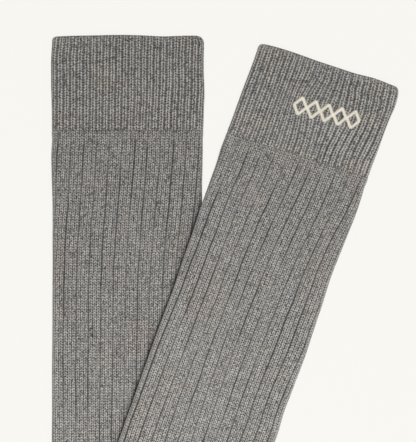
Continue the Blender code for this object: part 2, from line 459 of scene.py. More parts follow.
# Marks round the lower sock where the painted shade at the cuff's foot is darker
Mark = namedtuple("Mark", "turn spread dusk")
CUFF_FOOT_MARKS = (Mark(0.35, 0.13, 0.55), Mark(0.79, 0.11, 0.60), Mark(1.55, 0.2, 0.4))

# The painted shadow where the upper sock's fold lies on the lower one, and the painted light that the folds
# catch
CONTACT_SHADOW = 0.9
CONTACT_SPREAD = 0.0011
FOLD_PAINTED_LIGHT = 0.24
FOLD_LIGHT = {"lower": (0.17, 0.0), "upper": (0.09, 0.14)}
FOLD_LIGHT_SPREAD = 2.4

# The yarn's finish: how often each noise repeats in a metre, the tints of warm and cool fibres, and how high
# strands, fluff and loops stand out
FLUFF_SCALE = 1500.0
PATCH_SCALE = 95.0
CLOUD_SCALE = 38.0
WARM_TINT = (1.09, 0.98, 0.90)
COOL_TINT = (0.95, 1.0, 1.06)
CLOUD_TINT = 0.35
LOOP_TINT = 0.60
STRAND_HEIGHT = 0.00006
FLUFF_HEIGHT = 0.00004
PIT_DEPTH = 0.00016
DARK_THREAD = (0.72, 0.64, 0.51)
THREAD_SCALE = 2600.0
THREAD_HEIGHT = 0.0001

# What is seen from above, in half turns: the top and a little way round each fold
TOP_TURN = 1.1

# The heel's gores, the toe's decreases and the linked toe seam
GORE_WIDTH = 0.0008
GORE_DEPTH = 0.00045
GORE_REACH = 0.62
TOE_MARK_INSET = 0.0070
TOE_SEAM = TOE_TIP - 0.0045
TOE_SEAM_SPREAD = 0.0009
TOE_SEAM_STITCHES = 30

# The embroidered row on the upper cuff, its lozenges and its stitches
BADGE_ALONG = 0.0261
BADGE_ACROSS = 0.0074
BADGE_LENGTH = 0.0385
BADGE_HEIGHT = 0.0108
BADGE_TURN = math.radians(3.0)
BADGE_CUFF_WIDTH = 0.085
BADGE_WIDTH_SHARE = 0.94
BADGE_HEIGHT_SHARE = 0.90
LOZENGES = 5
STROKE_WIDTH = 0.00215
STROKE_UNEVENNESS = 0.08
THREAD_PITCH = 0.00036
THREAD_RADIUS = 0.00021
STITCH_RISE = 0.00042


def smooth(share):
    """0 to 1 with level ends, on numbers or arrays."""
    share = np.clip(share, 0.0, 1.0)
    return share * share * (3.0 - 2.0 * share)


def drift_noise(x, y, seed, around):
    """A soft random field between -1 and 1, with one lattice point to a unit, which repeats in x."""
    lattice = np.random.default_rng(seed).uniform(-1.0, 1.0, (LATTICE, LATTICE))
    column, row = np.floor(x).astype(int), np.floor(y).astype(int)
    fx, fy = smooth(x - column), smooth(y - row)
    corner = [[lattice[(column + i) % around, (row + k) % LATTICE] for k in (0, 1)] for i in (0, 1)]
    near = corner[0][0] * (1 - fx) + corner[1][0] * fx
    far = corner[0][1] * (1 - fx) + corner[1][1] * fx
    return near * (1 - fy) + far * fy


def round_noise(sock, turn, along, field):
    """What a soft random field adds, in patches that close round the tube."""
    seed = sock.seed + field.layer
    return field.amount * drift_noise(turn * field.lumps, along / field.length + 9.0, seed, 2 * field.lumps)


def bell(distance, spread):
    """1 at no distance, dying away over the spread."""
    return np.exp(-((distance / spread) ** 2))


# ---------------------------------------------------------------------------------------------------
# Where a point of a sock lies


def width_at(sock, along):
    """The flat width, without the heel's bulge or the toe's rounding."""
    leg = sock.cuff_width + (sock.leg_width - sock.cuff_width) * smooth((along - CUFF_DEPTH) / LEG_WIDTH_EASE)
    return leg + (FOOT_WIDTH - leg) * smooth((along - ANKLE_DROP) / (TURN_END - ANKLE_DROP))


def edges_at(sock, along):
    """The back and front ends of the sections at these distances, before placing."""
    along = np.asarray(along, float)
    width = width_at(sock, along)
    turn = np.clip((along - ANKLE_DROP) / TURN_RADIUS, 0.0, ANKLE_BEND)
    bulge = HEEL_BULGE * np.sin(math.pi * turn / ANKLE_BEND) ** 2
    toe_angle = TOE_TIP_ANGLE * np.clip((along - TOE_START) / TOE_LENGTH, 0.0, 1.0)
    rounding = np.cos(toe_angle)
    run = np.clip(along - TURN_END, 0.0, FOOT_LENGTH) + TOE_LENGTH * np.sin(toe_angle)
    near = INSTEP_RADIUS + (1.0 - rounding) * width * TOE_FRONT_SHARE
    far = INSTEP_RADIUS + width + bulge - (1.0 - rounding) * width * (1.0 - TOE_FRONT_SHARE)
    pivot_x = sock.leg_width / 2 + INSTEP_RADIUS
    across_x, across_y = -np.cos(turn), -np.sin(turn)
    onward_x, onward_y = np.sin(turn), -np.cos(turn)
    on_leg = along <= ANKLE_DROP
    fronts = (pivot_x + near * across_x + run * onward_x, -ANKLE_DROP + near * across_y + run * onward_y)
    backs = (pivot_x + far * across_x + run * onward_x, -ANKLE_DROP + far * across_y + run * onward_y)
    front = (np.where(on_leg, width / 2, fronts[0]), np.where(on_leg, -along, fronts[1]))
    back = (np.where(on_leg, -width / 2, backs[0]), np.where(on_leg, -along, backs[1]))
    return back, front


def section_width(sock, along):
    """The real distance between the two folds."""
    back, front = edges_at(sock, along)
    return np.hypot(front[0] - back[0], front[1] - back[1])


LOWER_CUFF_LOW, LOWER_CUFF_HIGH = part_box("lower_cuff")
SHIFT_X = LOWER_CUFF_LOW[0] - (LOWER.mouth_x - LOWER.cuff_width / 2)
SHIFT_Y = LOWER_CUFF_HIGH[1] - LOWER.mouth_y


def fold_slip(sock, fold, along):
    """How far a fold lies towards the front of its plain line, without the rounding of the corner."""
    dents = DENTS[f"{sock.name}_{fold}"]
    return MM * sum(dent.rise * bell(MM_IN_METRE * along - dent.along, dent.spread) for dent in dents)


def corner_inset(radius, along):
    """How far the rounded corner of the mouth draws a fold inwards."""
    left = (radius - along).clip(0.0, radius)
    return radius - np.sqrt(radius * radius - left * left)


def mouth_drop(sock, share):
    """How far down the sock the waves of the mouth's edge carry a place on it."""
    waves = [ripple.drop * bell(share - ripple.share, ripple.spread) for ripple in RIPPLES[sock.name]]
    return MM * sum(waves)


def plan_point(sock, along, share):
    """Places on the surface plan: share runs from 0 at the back fold to 1 at the front."""
    along, share = np.asarray(along, float), np.asarray(share, float)
    tilt_left = 1.0 - smooth(along / ANKLE_DROP)
    placed = along - math.tan(sock.course_tilt) * tilt_left * (share - 0.5) * width_at(sock, along)
    placed = placed + mouth_drop(sock, share) * (1.0 - smooth(along / RIPPLE_REACH))
    back, front = edges_at(sock, placed)
    run_x, run_y = front[0] - back[0], front[1] - back[1]
    slip = fold_slip(sock, "back", along) * (1.0 - share) ** 3 + fold_slip(sock, "front", along) * share ** 3
    slip = slip + corner_inset(sock.back_corner, along) * np.clip(1.0 - 7.0 * share, 0.0, 1.0) ** 2
    slip = slip - corner_inset(sock.front_corner, along) * np.clip(7.0 * share - 6.0, 0.0, 1.0) ** 2
    at = share + slip / np.hypot(run_x, run_y)
    x, y = back[0] + run_x * at, back[1] + run_y * at
    cos, sin = math.cos(sock.lean), math.sin(sock.lean)
    return sock.mouth_x + x * cos - y * sin + SHIFT_X, sock.mouth_y + x * sin + y * cos + SHIFT_Y


def lower_outline(step=0.006):
    """The closed outline of the lower sock, down its back fold and up its front fold."""
    stations = np.linspace(0.0, TOE_TIP, round(TOE_TIP / step) + 1)
    back = np.stack(plan_point(LOWER, stations, 0.0), 1)
    front = np.stack(plan_point(LOWER, stations[::-1], 1.0), 1)
    return np.concatenate([back, front])


def lift_grid():
    """The height at which a cloth laid over the lower sock lies, on a fine square grid of the plan."""
    low, high = np.array(CAD_BOX[0][:2]) - 0.02, np.array(CAD_BOX[1][:2]) + 0.02
    xs = np.arange(low[0], high[0], LIFT_CELL)
    ys = np.arange(low[1], high[1], LIFT_CELL)
    points = np.stack(np.meshgrid(xs, ys, indexing="ij"), -1).reshape(-1, 2)
    start = lower_outline()
    end = np.roll(start, -1, axis=0)
    distance = np.full(len(points), 1.0)
    crossings = np.zeros(len(points), int)
    for a, b in zip(start, end):
        run = b - a
        share = np.clip(((points - a) @ run) / max(run @ run, 1e-12), 0.0, 1.0)
        distance = np.minimum(distance, np.hypot(*(points - a - share[:, None] * run).T))
        if a[1] != b[1]:
            spans = (a[1] > points[:, 1]) != (b[1] > points[:, 1])
            crossings += spans & (points[:, 0] < a[0] + (points[:, 1] - a[1]) * run[0] / run[1])
    outside = np.where(crossings % 2, 0.0, distance) - CLIMB_MARGIN
    lift = (THICKNESS + CLEARANCE) * (1.0 - smooth(outside / CLIMB_LENGTH))
    return low, lift.reshape(len(xs), len(ys))


LIFT_ORIGIN, LIFT = lift_grid()


def lift_at(sock, x, y):
    """The height of a sock's underside above the surface."""
    if not sock.draped:
        return np.zeros_like(x)
    u, v = (x - LIFT_ORIGIN[0]) / LIFT_CELL, (y - LIFT_ORIGIN[1]) / LIFT_CELL
    i = np.clip(np.floor(u).astype(int), 0, LIFT.shape[0] - 2)
    k = np.clip(np.floor(v).astype(int), 0, LIFT.shape[1] - 2)
    fu, fv = u - i, v - k
    near = LIFT[i, k] * (1 - fu) + LIFT[i + 1, k] * fu
    far = LIFT[i, k + 1] * (1 - fu) + LIFT[i + 1, k + 1] * fu
    return near * (1 - fv) + far * fv


def lip_at(along):
    """The share of the thickness left near the mouth and near the toe's tip."""
    distances, shares = zip(*LIP)
    return np.interp(np.minimum(along, TOE_TIP - along), distances, shares)


def half_turn(width):
    """The length of the outside from the middle of one side fold to the middle of the other."""
    return width - THICKNESS + math.pi * THICKNESS / 2


def section(turn, width):
    """The flattened tube's outside. turn is 0 to 1 over the top from back to front, then on round the
    underside. Returns the distance across, the height and the outward direction."""
    radius = THICKNESS / 2
    quarter = math.pi * radius / 2
    around = np.mod(turn, 2.0)
    over = np.where(around > 1.0, 2.0 - around, around)
    run = over * half_turn(width)
    from_front = half_turn(width) - run
    angle = np.minimum(run, from_front).clip(0.0, quarter) / radius
    inward = radius - radius * np.cos(angle)
    flat = np.clip(np.minimum(run, from_front) - quarter, 0.0, None)
    near_back = run < from_front
    across = np.where(near_back, inward + flat, width - inward - flat)
    height = radius + radius * np.sin(angle)
    out_x = np.where(near_back, -np.cos(angle), np.cos(angle))
    out_z = np.sin(angle)
    under = around > 1.0
    return across, np.where(under, THICKNESS - height, height), out_x, np.where(under, -out_z, out_z)


def rib_slide(sock, piece, along, turn):
    """How far the ribs have slid towards the front fold, for rows of distances by columns of turns."""
    rows = SLIDES[f"{sock.name}_{'cuff' if piece.name == 'cuff' else 'leg'}"]
    stations = [MM * row.along for row in rows]
    knots = (0.0, 0.25, 0.5, 0.75, 1.0, 1.25, 1.75, 2.0)
    places = ("back", "rear", "middle", "fore", "front", "front", "back", "back")
    total = np.zeros((len(along), len(turn)))
    for place in dict.fromkeys(places):
        slides = [getattr(row, place) for row in rows]
        down = np.mean([np.interp(along + ease, stations, slides) for ease in SLIDE_EASE], axis=0)
        weight = np.interp(np.mod(turn, 2.0), knots, [float(at == place) for at in places])
        total += MM * down[:, None] * weight[None, :]
    return total


def badge_push(sock, piece, along, across):
    """How far the embroidery pushes the ribs of the upper cuff towards the front fold."""
    if not sock.draped or piece.name != "cuff":
        return np.zeros_like(across)
    from_middle = MM_IN_METRE * (across - sock.cuff_width / 2)
    aside = np.interp(from_middle, [row.across for row in PUSHES], [row.push for row in PUSHES])
    down = MM_IN_METRE * along
    share = np.interp(down, [row.along for row in REACHES], [row.share for row in REACHES])
    return MM * aside * share


def crease_depth(sock, along, across):
    """The depth of the soft creases in the upper layer, at distances down and across the sock."""
    depth = np.zeros_like(along)
    across, down = MM_IN_METRE * across, MM_IN_METRE * along
    for crease in CREASES[sock.name]:
        run_x, run_y = crease.to_across - crease.from_across, crease.to_along - crease.from_along
        off_x, off_y = across - crease.from_across, down - crease.from_along
        share = np.clip((off_x * run_x + off_y * run_y) / (run_x * run_x + run_y * run_y), 0.0, 1.0)
        away = np.hypot(off_x - share * run_x, off_y - share * run_y)
        depth += MM * crease.depth * bell(away, crease.spread * (1.15 - 0.5 * share))
    return depth


# ---------------------------------------------------------------------------------------------------
# The knitted pieces


def rib_columns(piece):
    """All the columns round a piece: where each lies in half turns, its needle, depth, hump and painted
    shade.
    """
    rib = CUFF_RIB if piece.name == "cuff" else LEG_RIB
    mirrored = [column._replace(needle=rib.knit_needles - column.needle) for column in rib.knitted[-2::-1]]
    needles = rib.knit_needles + 1
    rib_width = rib.knit_needles + rib.purl_width
    plain_up_to = piece.ribs * (1.0 - piece.ribbed_share)
    rows = []
    for number in range(-piece.extra[0], piece.ribs + piece.extra[1]):
        plain = number < plain_up_to or number >= piece.ribs or piece.ribbed_share == 0.0
        plain = plain and piece.ribbed_share < 1.0
        for column in (*rib.knitted, *mirrored, rib.purl):
            purl = max(column.needle - rib.knit_needles, 0.0)
            place = min(column.needle, rib.knit_needles) + purl * rib.purl_width
            if plain:
                place = column.needle * rib_width / needles
            depth = min(column.depth, PLAIN_GROOVE) if plain else column.depth
            hump = 1.0 if plain and purl else column.hump
            dusk = 0.0 if plain else column.dusk
            turn = (number + place / rib_width) / piece.ribs
            rows.append((turn, number * needles + column.needle, depth, hump, dusk))
    first, last = rows[0], rows[-1]
    span = 2.0 - (last[0] - first[0])
    needles_left = 2 * piece.ribs * needles - (last[1] - first[1])
    for step in range(1, UNDER_COLUMNS):
        share = step / UNDER_COLUMNS
        share = share - UNDER_CROWDING * math.sin(2.0 * math.pi * share) / (2.0 * math.pi)
        rows.append((last[0] + span * share, last[1] + needles_left * share, PLAIN_GROOVE, 0.5, 0.0))
    rows.append((first[0] + 2.0, first[1] + 2 * piece.ribs * needles, *first[2:]))
    return np.array(rows).T


def rolled_grid(columns, rows):
    """A flat grid that will be rolled into a wall, with its bake map, as a mesh."""
    rolled = bmesh.new()
    rolled.loops.layers.uv.new("OFBake")
    bmesh.ops.create_grid(rolled, x_segments=columns - 1, y_segments=rows - 1, size=0.5, calc_uvs=True)
    data = bpy.data.meshes.new("rolled")
    rolled.to_mesh(data)
    rolled.free()
    return data


def rib_relief(sock, piece, along, turn):
    """The share of the ribs' full depth: softer at the mouth, at the cuff's foot and in soft patches."""
    if piece.name == "cuff":
        patches = CUFF_RELIEF + round_noise(sock, turn, along, CUFF_PATCHES)
        reach = MOUTH_REACH + round_noise(sock, turn, along * 0.0, MOUTH_WEAR)
        relief = patches * (MOUTH_RELIEF + (1.0 - MOUTH_RELIEF) * smooth((along - MOUTH_START) / reach))
        foot = smooth((along - CUFF_DEPTH + CUFF_FOOT_REACH) / CUFF_FOOT_REACH)
        relief = relief * (1.0 - CUFF_FOOT_LOSS * foot)
        if sock.draped:
            beside = turn - 0.5 - BADGE_ACROSS / BADGE_CUFF_WIDTH
            under_badge = bell(along - BADGE_ALONG, BADGE_LOSS_ALONG) * bell(beside, BADGE_LOSS_TURN)
            relief = relief * (1.0 - BADGE_LOSS * under_badge)
        return relief
    patches = LEG_RELIEF + round_noise(sock, turn, along, LEG_PATCHES)
    if piece.name == "leg":
        begun = smooth((along - CUFF_DEPTH) / LEG_START_REACH)
        patches = patches * (LEG_START_RELIEF + (1.0 - LEG_START_RELIEF) * begun)
    if sock.draped:
        by_fold = sum(bell(turn - place, STRONG_SPREAD) for place in STRONG_GROOVES)
        by_fold = by_fold.clip(0.0, 1.0) * smooth((along - STRONG_FROM) / STRONG_EASE)
        patches = patches + by_fold * (STRONG_RELIEF - patches)
    return patches.clip(FAINT_RELIEF, STRONG_RELIEF)


def sewn_marks(piece, along, turn, across_share, course):
    """The depth of the heel's gores and of the toe's decreases and seam (a ridge is less than nothing)."""
    stitched = 0.7 + 0.3 * np.cos(2.0 * math.pi * course)
    if piece.name == "heel":
        halfway = (piece.first + piece.last) / 2
        reach = (piece.last - piece.first) / 2
        line = reach * (1.0 - across_share / GORE_REACH)
        away = np.abs(np.abs(along - halfway) - line) * (line > 0.0)
        return GORE_DEPTH * bell(away, GORE_WIDTH) * stitched * (line > 0.0)
    if piece.name == "toe":
        inset = TOE_MARK_INSET / FOOT_WIDTH
        from_fold = np.minimum(across_share, 1.0 - across_share)
        marks = GORE_DEPTH * bell((from_fold - inset) * FOOT_WIDTH, GORE_WIDTH) * stitched
        linked = 0.6 + 0.4 * np.cos(2.0 * TOE_SEAM_STITCHES * math.pi * turn)
        return marks - GORE_DEPTH * bell(along - TOE_SEAM, TOE_SEAM_SPREAD) * linked
    return 0.0


def wall_point(sock, piece, along, columns, inner):
    """Places every vertex of a piece: arrays of rows by columns, from the rows' distances along."""
    turns, _, depth, hump, _ = columns
    slide = rib_slide(sock, piece, along, turns)
    along = np.broadcast_to(along[:, None], slide.shape)
    turn = np.broadcast_to(turns, slide.shape)
    width = section_width(sock, along)
    push = slide + round_noise(sock, turn, along, RIB_WANDER)
    push = push + badge_push(sock, piece, along, section(turn, width)[0])
    across, height, out_x, out_z = section(turn + push / half_turn(width), width)
    upper = smooth((height / THICKNESS - RELIEF_FROM) / RELIEF_OVER)
    relief = rib_relief(sock, piece, along, turn) * upper
    course = (along - piece.first) / (piece.last - piece.first) * piece.courses
    off_middle = 1.0 - np.abs(2.0 * np.mod(columns[1], 1.0) - 1.0)
    dash = 0.5 - 0.5 * np.cos(2.0 * math.pi * (course - LOOP_SLANT * (1.0 - off_middle)))
    sunk = MM * depth * np.where(depth > GROOVE_EDGE, relief, 0.5 * upper + 0.5 * relief)
    sunk = sunk + STITCH_DEPTH * (1.0 - (0.35 + 0.65 * hump) * dash) * upper
    sunk = sunk + sewn_marks(piece, along, turn, across / width, course) * upper
    if piece.name in ("cuff", "leg"):
        sunk = sunk + CUFF_FOOT_SINK * bell(along - CUFF_DEPTH, CUFF_FOOT_SPREAD) * upper
    flat_top = upper * out_z.clip(0.0, 1.0)
    swell = round_noise(sock, turn, along, SWELL)
    soft = (swell - crease_depth(sock, along, across - width / 2)) * flat_top
    across = across - out_x * sunk
    height = height - out_z * sunk + soft
    if inner:
        across = FOLD_WALL + across * (width - 2 * FOLD_WALL) / width
        height = UNDER_LAYER + HOLLOW * np.clip(height / THICKNESS, 0.0, 1.0)
    else:
        middle = THICKNESS / 2
        height = middle + (height - middle) * lip_at(along)
    x, y = plan_point(sock, along, across / width)
    return x, y, height + lift_at(sock, x, y)


def tone_and_painted_light_at(sock, piece, along, columns):
    """How much lighter the yarn's tone, painted light on the folds and painted patches make each place: rows
    by columns.
    """
    turns = columns[0]
    down = MM_IN_METRE * np.broadcast_to(along[:, None], (len(along), len(turns)))
    slide = rib_slide(sock, piece, along, turns)
    width = section_width(sock, along)[:, None]
    across, _, _, out_z = section(turns[None, :] + slide / half_turn(width), width)
    across = MM_IN_METRE * (across - width / 2)
    tone = np.full(down.shape, sock.tone + CUFF_TONE * (piece.name == "cuff"))
    # Painted light where the folds turn down, and painted highlights along the folds' edges
    tone = tone + FOLD_PAINTED_LIGHT * (1.0 - out_z.clip(0.0, 1.0)) ** 0.6
    for light, side in zip(FOLD_LIGHT[sock.name], (-1.0, 1.0)):
        tone = tone + light * bell(0.5 * MM_IN_METRE * width - side * across, FOLD_LIGHT_SPREAD)
    # Soft patches of painted light and shade on the top
    on_top = np.mod(turns, 2.0)[None, :] < TOP_TURN
    for patch in LIGHT_AND_SHADE_PATCHES[sock.name]:
        reach = bell(across - patch.across, patch.half_width) * bell(down - patch.along, patch.half_length)
        tone = tone + patch.tone * reach * on_top
    return tone


def beside_upper(x, y):
    """How far places of the plan lie outside the back fold of the upper sock's leg."""
    x, y = x - UPPER.mouth_x - SHIFT_X, y - UPPER.mouth_y - SHIFT_Y
    cos, sin = math.cos(UPPER.lean), math.sin(UPPER.lean)
    along = x * sin - y * cos
    across = x * cos + y * sin
    away = -UPPER.leg_width / 2 + fold_slip(UPPER, "back", along) - across
    return np.where((along > CUFF_DEPTH) & (along < ANKLE_DROP), away, 1.0)


def shade_and_slubs_at(sock, piece, along, columns):
    """Painted shade of grooves, the cuff's foot and the contact line, with dark slubs: rows by columns."""
    turns, _, depth, _, dusk = columns
    slide = rib_slide(sock, piece, along, turns)
    along = np.broadcast_to(along[:, None], slide.shape)
    turn = np.broadcast_to(turns, slide.shape)
    in_groove = depth > GROOVE_EDGE
    # Painted shade in the grooves and on the lines between loops, following the relief
    shade = dusk * rib_relief(sock, piece, along, turn) ** np.where(in_groove, GROOVE_POWER, BETWEEN_POWER)
    if sock.draped and piece.name == "cuff":
        change = smooth((turn - UPPER_CUFF_CHANGE[0]) / UPPER_CUFF_CHANGE[1])
        grooves, between = (first + more * change for first, more in (UPPER_CUFF_GROOVE, UPPER_CUFF_BETWEEN))
        shade = shade * np.where(in_groove, grooves, between)
    # Painted shade along the sunk rows where the cuff ends, uneven, and darker at marks on the lower sock
    if piece.name in ("cuff", "leg"):
        uneven = 0.85 + round_noise(sock, turn, along * 0.0, CUFF_FOOT_UNEVEN)
        darker_marks = sum(mark.dusk * bell(turn - mark.turn, mark.spread) for mark in CUFF_FOOT_MARKS)
        strength = CUFF_FOOT_SHADE + (0.0 if sock.draped else darker_marks)
        strength = strength * uneven * (0.45 + 0.55 * smooth(2.0 * dusk))
        shade = shade + strength * bell(along - CUFF_DEPTH - 0.0002, CUFF_FOOT_SPREAD)
    width = section_width(sock, along)
    across = section(turn + slide / half_turn(width), width)[0]
    # Painted contact shadow on the lower sock beside the upper sock's back fold
    if not sock.draped:
        x, y = plan_point(sock, along, across / width)
        shade = shade + CONTACT_SHADOW * bell(beside_upper(x, y), CONTACT_SPREAD)
    across = across - width / 2
    on_top = np.mod(turn, 2.0) < TOP_TURN
    for slub in SLUBS[sock.name]:
        away = np.hypot(across - slub.across, along - slub.along)
        shade = shade + slub.dusk * bell(away, slub.spread) * on_top
    return shade


def piece_rows(piece):
    """The rows of the outside, from first to last, and of the inside, from last to first."""
    first = piece.first + (0.0 if piece.name == "cuff" else JOIN_GAP / 2)
    last = piece.last - (0.0 if piece.name == "toe" else JOIN_GAP / 2)
    count = piece.courses * piece.rows + 1
    outer = np.linspace(first, last, count)
    inner_last = last - (INNER_TOE_STOP if piece.name == "toe" else 0.0)
    return outer, np.linspace(inner_last, first, piece.inner_rows + 1)


def knit(sock, piece, material):
    """Knits one piece as a closed wall and puts it in place of its solid."""
    columns = rib_columns(piece)
    outer, inner = piece_rows(piece)
    count = columns.shape[1]
    closed_toe = piece.name == "toe"
    total_rows = len(inner) + len(outer) + (2 if closed_toe else 1)
    data = rolled_grid(count, total_rows)

    places = [wall_point(sock, piece, inner, columns, True), wall_point(sock, piece, outer, columns, False)]
    points = np.concatenate([np.stack(place, -1) for place in places], 0)
    stations = np.concatenate([inner, outer])
    rims = np.zeros(len(stations))
    rims[len(inner)] = piece.name != "cuff"
    rims[-1] = not closed_toe
    if closed_toe:
        start, end = points[0].mean(0), points[-1].mean(0)
        points = np.concatenate([np.tile(start, (1, count, 1)), points, np.tile(end, (1, count, 1))])
        stations = np.concatenate([stations[:1], stations, stations[-1:]])
        rims = np.concatenate([[0.0], rims, [0.0]])
    else:
        points = np.concatenate([points, points[:1]])
        stations = np.concatenate([stations, stations[:1]])
        rims = np.concatenate([rims, [0.0]])

    corners = len(data.loops)
    bake_map = np.empty(corners * 2)
    data.uv_layers["OFBake"].uv.foreach_get("vector", bake_map)
    bake_map = bake_map.reshape(-1, 2)
    column = np.rint(bake_map[:, 0] * (count - 1)).astype(int)
    row = np.rint(bake_map[:, 1] * (total_rows - 1)).astype(int)
    vertex = np.empty(corners, int)
    data.loops.foreach_get("vertex_index", vertex)
    spots = np.zeros((len(data.vertices), 3))
    spots[vertex] = points[row, column]
    data.vertices.foreach_set("co", spots.ravel())

    courses = (stations - piece.first) / (piece.last - piece.first) * piece.courses
    knit_map = data.uv_layers.new(name="knit")
    knit_uv = np.stack([columns[1][column] + NEEDLE_START, courses[row] + COURSE_START[piece.name]], 1)
    knit_map.uv.foreach_set("vector", knit_uv.ravel())
    data.uv_layers.active = data.uv_layers["OFBake"]

    def store(name, values):
        """Keeps a number for each vertex, from rows by columns, which a material can read."""
        numbers = np.zeros(len(data.vertices))
        numbers[vertex] = values[row, column]
        kept = data.attributes.new(name, "FLOAT", "POINT")
        kept.data.foreach_set("value", numbers)

    every = np.ones((total_rows, count))
    # Painted shade with the dark slubs, and the tone with its painted light, kept for the material to read
    store("dusk", shade_and_slubs_at(sock, piece, stations, columns))
    store("tone", tone_and_painted_light_at(sock, piece, stations, columns))
    store("crisp", every * (sock.crisp * (CUFF_CRISP if piece.name == "cuff" else 1.0)))
    store("rim", every * rims[:, None])

    shape = bmesh.new()
    shape.from_mesh(data)
    border = [v for v in shape.verts if v.is_boundary]
    bmesh.ops.remove_doubles(shape, verts=border, dist=1e-6)
    bmesh.ops.recalc_face_normals(shape, faces=shape.faces)
    shape.to_mesh(data)
    shape.free()
    data.shade_smooth()
    sharpen_rims(data)
    return finish_piece(data, f"{sock.name}_{piece.name}_knit", material)


def sharpen_rims(data):
    """Marks the ends that meet another piece sharp, so that the knit's shading runs on across the join."""
    ends = np.empty(len(data.edges) * 2, int)
    data.edges.foreach_get("vertices", ends)
    rim = np.empty(len(data.vertices))
    data.attributes["rim"].data.foreach_get("value", rim)
    data.edges.foreach_set("use_edge_sharp", (rim[ends.reshape(-1, 2)] > 0.5).all(1))
    data.attributes.remove(data.attributes["rim"])


def finish_piece(data, name, material):
    """Makes a piece of a mesh, riding on the pair and named for its finish."""
    data.name = name
    data.materials.clear()
    data.materials.append(material)
    made = bpy.data.objects.new(name, data)
    bpy.context.scene.collection.objects.link(made)
    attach(made, BODY)
    return made


def flat_cut(sock, piece):
    """The knitted piece pressed flat and opened, all round the tube: its width, length and area."""
    stations = np.linspace(piece.first, piece.last, 41)
    back, front = edges_at(sock, stations)
    middle = [(front[k] + back[k]) / 2 for k in (0, 1)]
    widths = section_width(sock, stations)
    steps = np.hypot(np.diff(middle[0]), np.diff(middle[1]))
    area = 0.0
    for k in range(len(stations) - 1):
        corners = [(back[0][k], back[1][k]), (front[0][k], front[1][k])]
        corners += [(front[0][k + 1], front[1][k + 1]), (back[0][k + 1], back[1][k + 1])]
        turned = corners[1:] + corners[:1]
        area += abs(sum(a[0] * b[1] - b[0] * a[1] for a, b in zip(corners, turned))) / 2
    widest = sock.leg_width if piece.name == "leg" else float(widths.max())
    return 2 * widest, float(steps.sum()), 2 * area


def knit_both(piece_name):
    piece = PIECE[piece_name]
    for sock in SOCKS:
        made = knit(sock, piece, knit_material(piece_name))
        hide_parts(f"{sock.name}_{piece.name}")
        width, length, area = flat_cut(sock, piece)
        max(length, area / width)


# ---------------------------------------------------------------------------------------------------
# Finishes


class Number:
    """A value that varies over a surface. Sums written with it become Math nodes."""

    def __init__(self, shader, socket):
        self.shader = shader
        self.socket = socket

    def math(self, operation, *others):
        return self.shader.node("ShaderNodeMath", {"operation": operation}, [self, *others])

    def __add__(self, other):
        return self.math("ADD", other)

    def __sub__(self, other):
        return self.math("SUBTRACT", other)

    def __mul__(self, other):
        return self.math("MULTIPLY", other)

    def __pow__(self, other):
        return self.math("POWER", other)

    def __radd__(self, other):
        return self + other

    def __rmul__(self, other):
        return self * other

    def __rsub__(self, other):
        return self.shader.node("ShaderNodeMath", {"operation": "SUBTRACT"}, [other, self])

    def floor(self):
        return self.math("FLOOR")

    def fraction(self):
        return self.math("FRACT")

    def size(self):
        return self.math("ABSOLUTE")

    def clamp(self):
        return self.shader.node("ShaderNodeClamp", {}, [self])


class Shader:
    """A material under construction."""

    def __init__(self, name):
        self.material = bpy.data.materials.new(name)
        self.material.use_nodes = True
        self.tree = self.material.node_tree
        self.surface = self.tree.nodes["Principled BSDF"]

    def node(self, kind, settings, inputs, output=0):
        """Adds a node with its settings, then its inputs, by order or by name."""
        made = self.tree.nodes.new(kind)
        for name, value in settings.items():
            setattr(made, name, value)
        pairs = inputs.items() if isinstance(inputs, dict) else enumerate(inputs)
        for key, value in pairs:
            self.join(made.inputs[key], value)
        return Number(self, made.outputs[output])

    def join(self, socket, value):
        """Links a varying value to a socket, or sets a constant on it."""
        if isinstance(value, Number):
            self.tree.links.new(value.socket, socket)
        else:
            socket.default_value = value

    def vector(self, x, y, z=0.0):
        return self.node("ShaderNodeCombineXYZ", {}, [x, y, z])

    def blend(self, share, first, second, way="MIX"):
        """Mixes two colours."""
        settings = {"data_type": "RGBA", "blend_type": way}
        return self.node("ShaderNodeMix", settings, {0: share, 6: first, 7: second}, output=2)

    def scale_colour(self, colour, by):
        return self.node("ShaderNodeVectorMath", {"operation": "SCALE"}, {0: colour, 3: by})

    def attribute(self, name):
        return self.node("ShaderNodeAttribute", {"attribute_name": name}, {}, output="Fac")

    def noise(self, place, scale, detail, roughness=0.5):
        settings = {"noise_dimensions": "3D"}
        values = {"Vector": place, "Scale": scale, "Detail": detail, "Roughness": roughness}
        return self.node("ShaderNodeTexNoise", settings, values)

    def chance(self, place):
        return self.node("ShaderNodeTexWhiteNoise", {"noise_dimensions": "3D"}, {"Vector": place})

    def set(self, **values):
        for name, value in values.items():
            self.join(self.surface.inputs[name.replace("_", " ")], value)


def colour(values):
    """A colour with its alpha."""
    return (*values, 1.0)


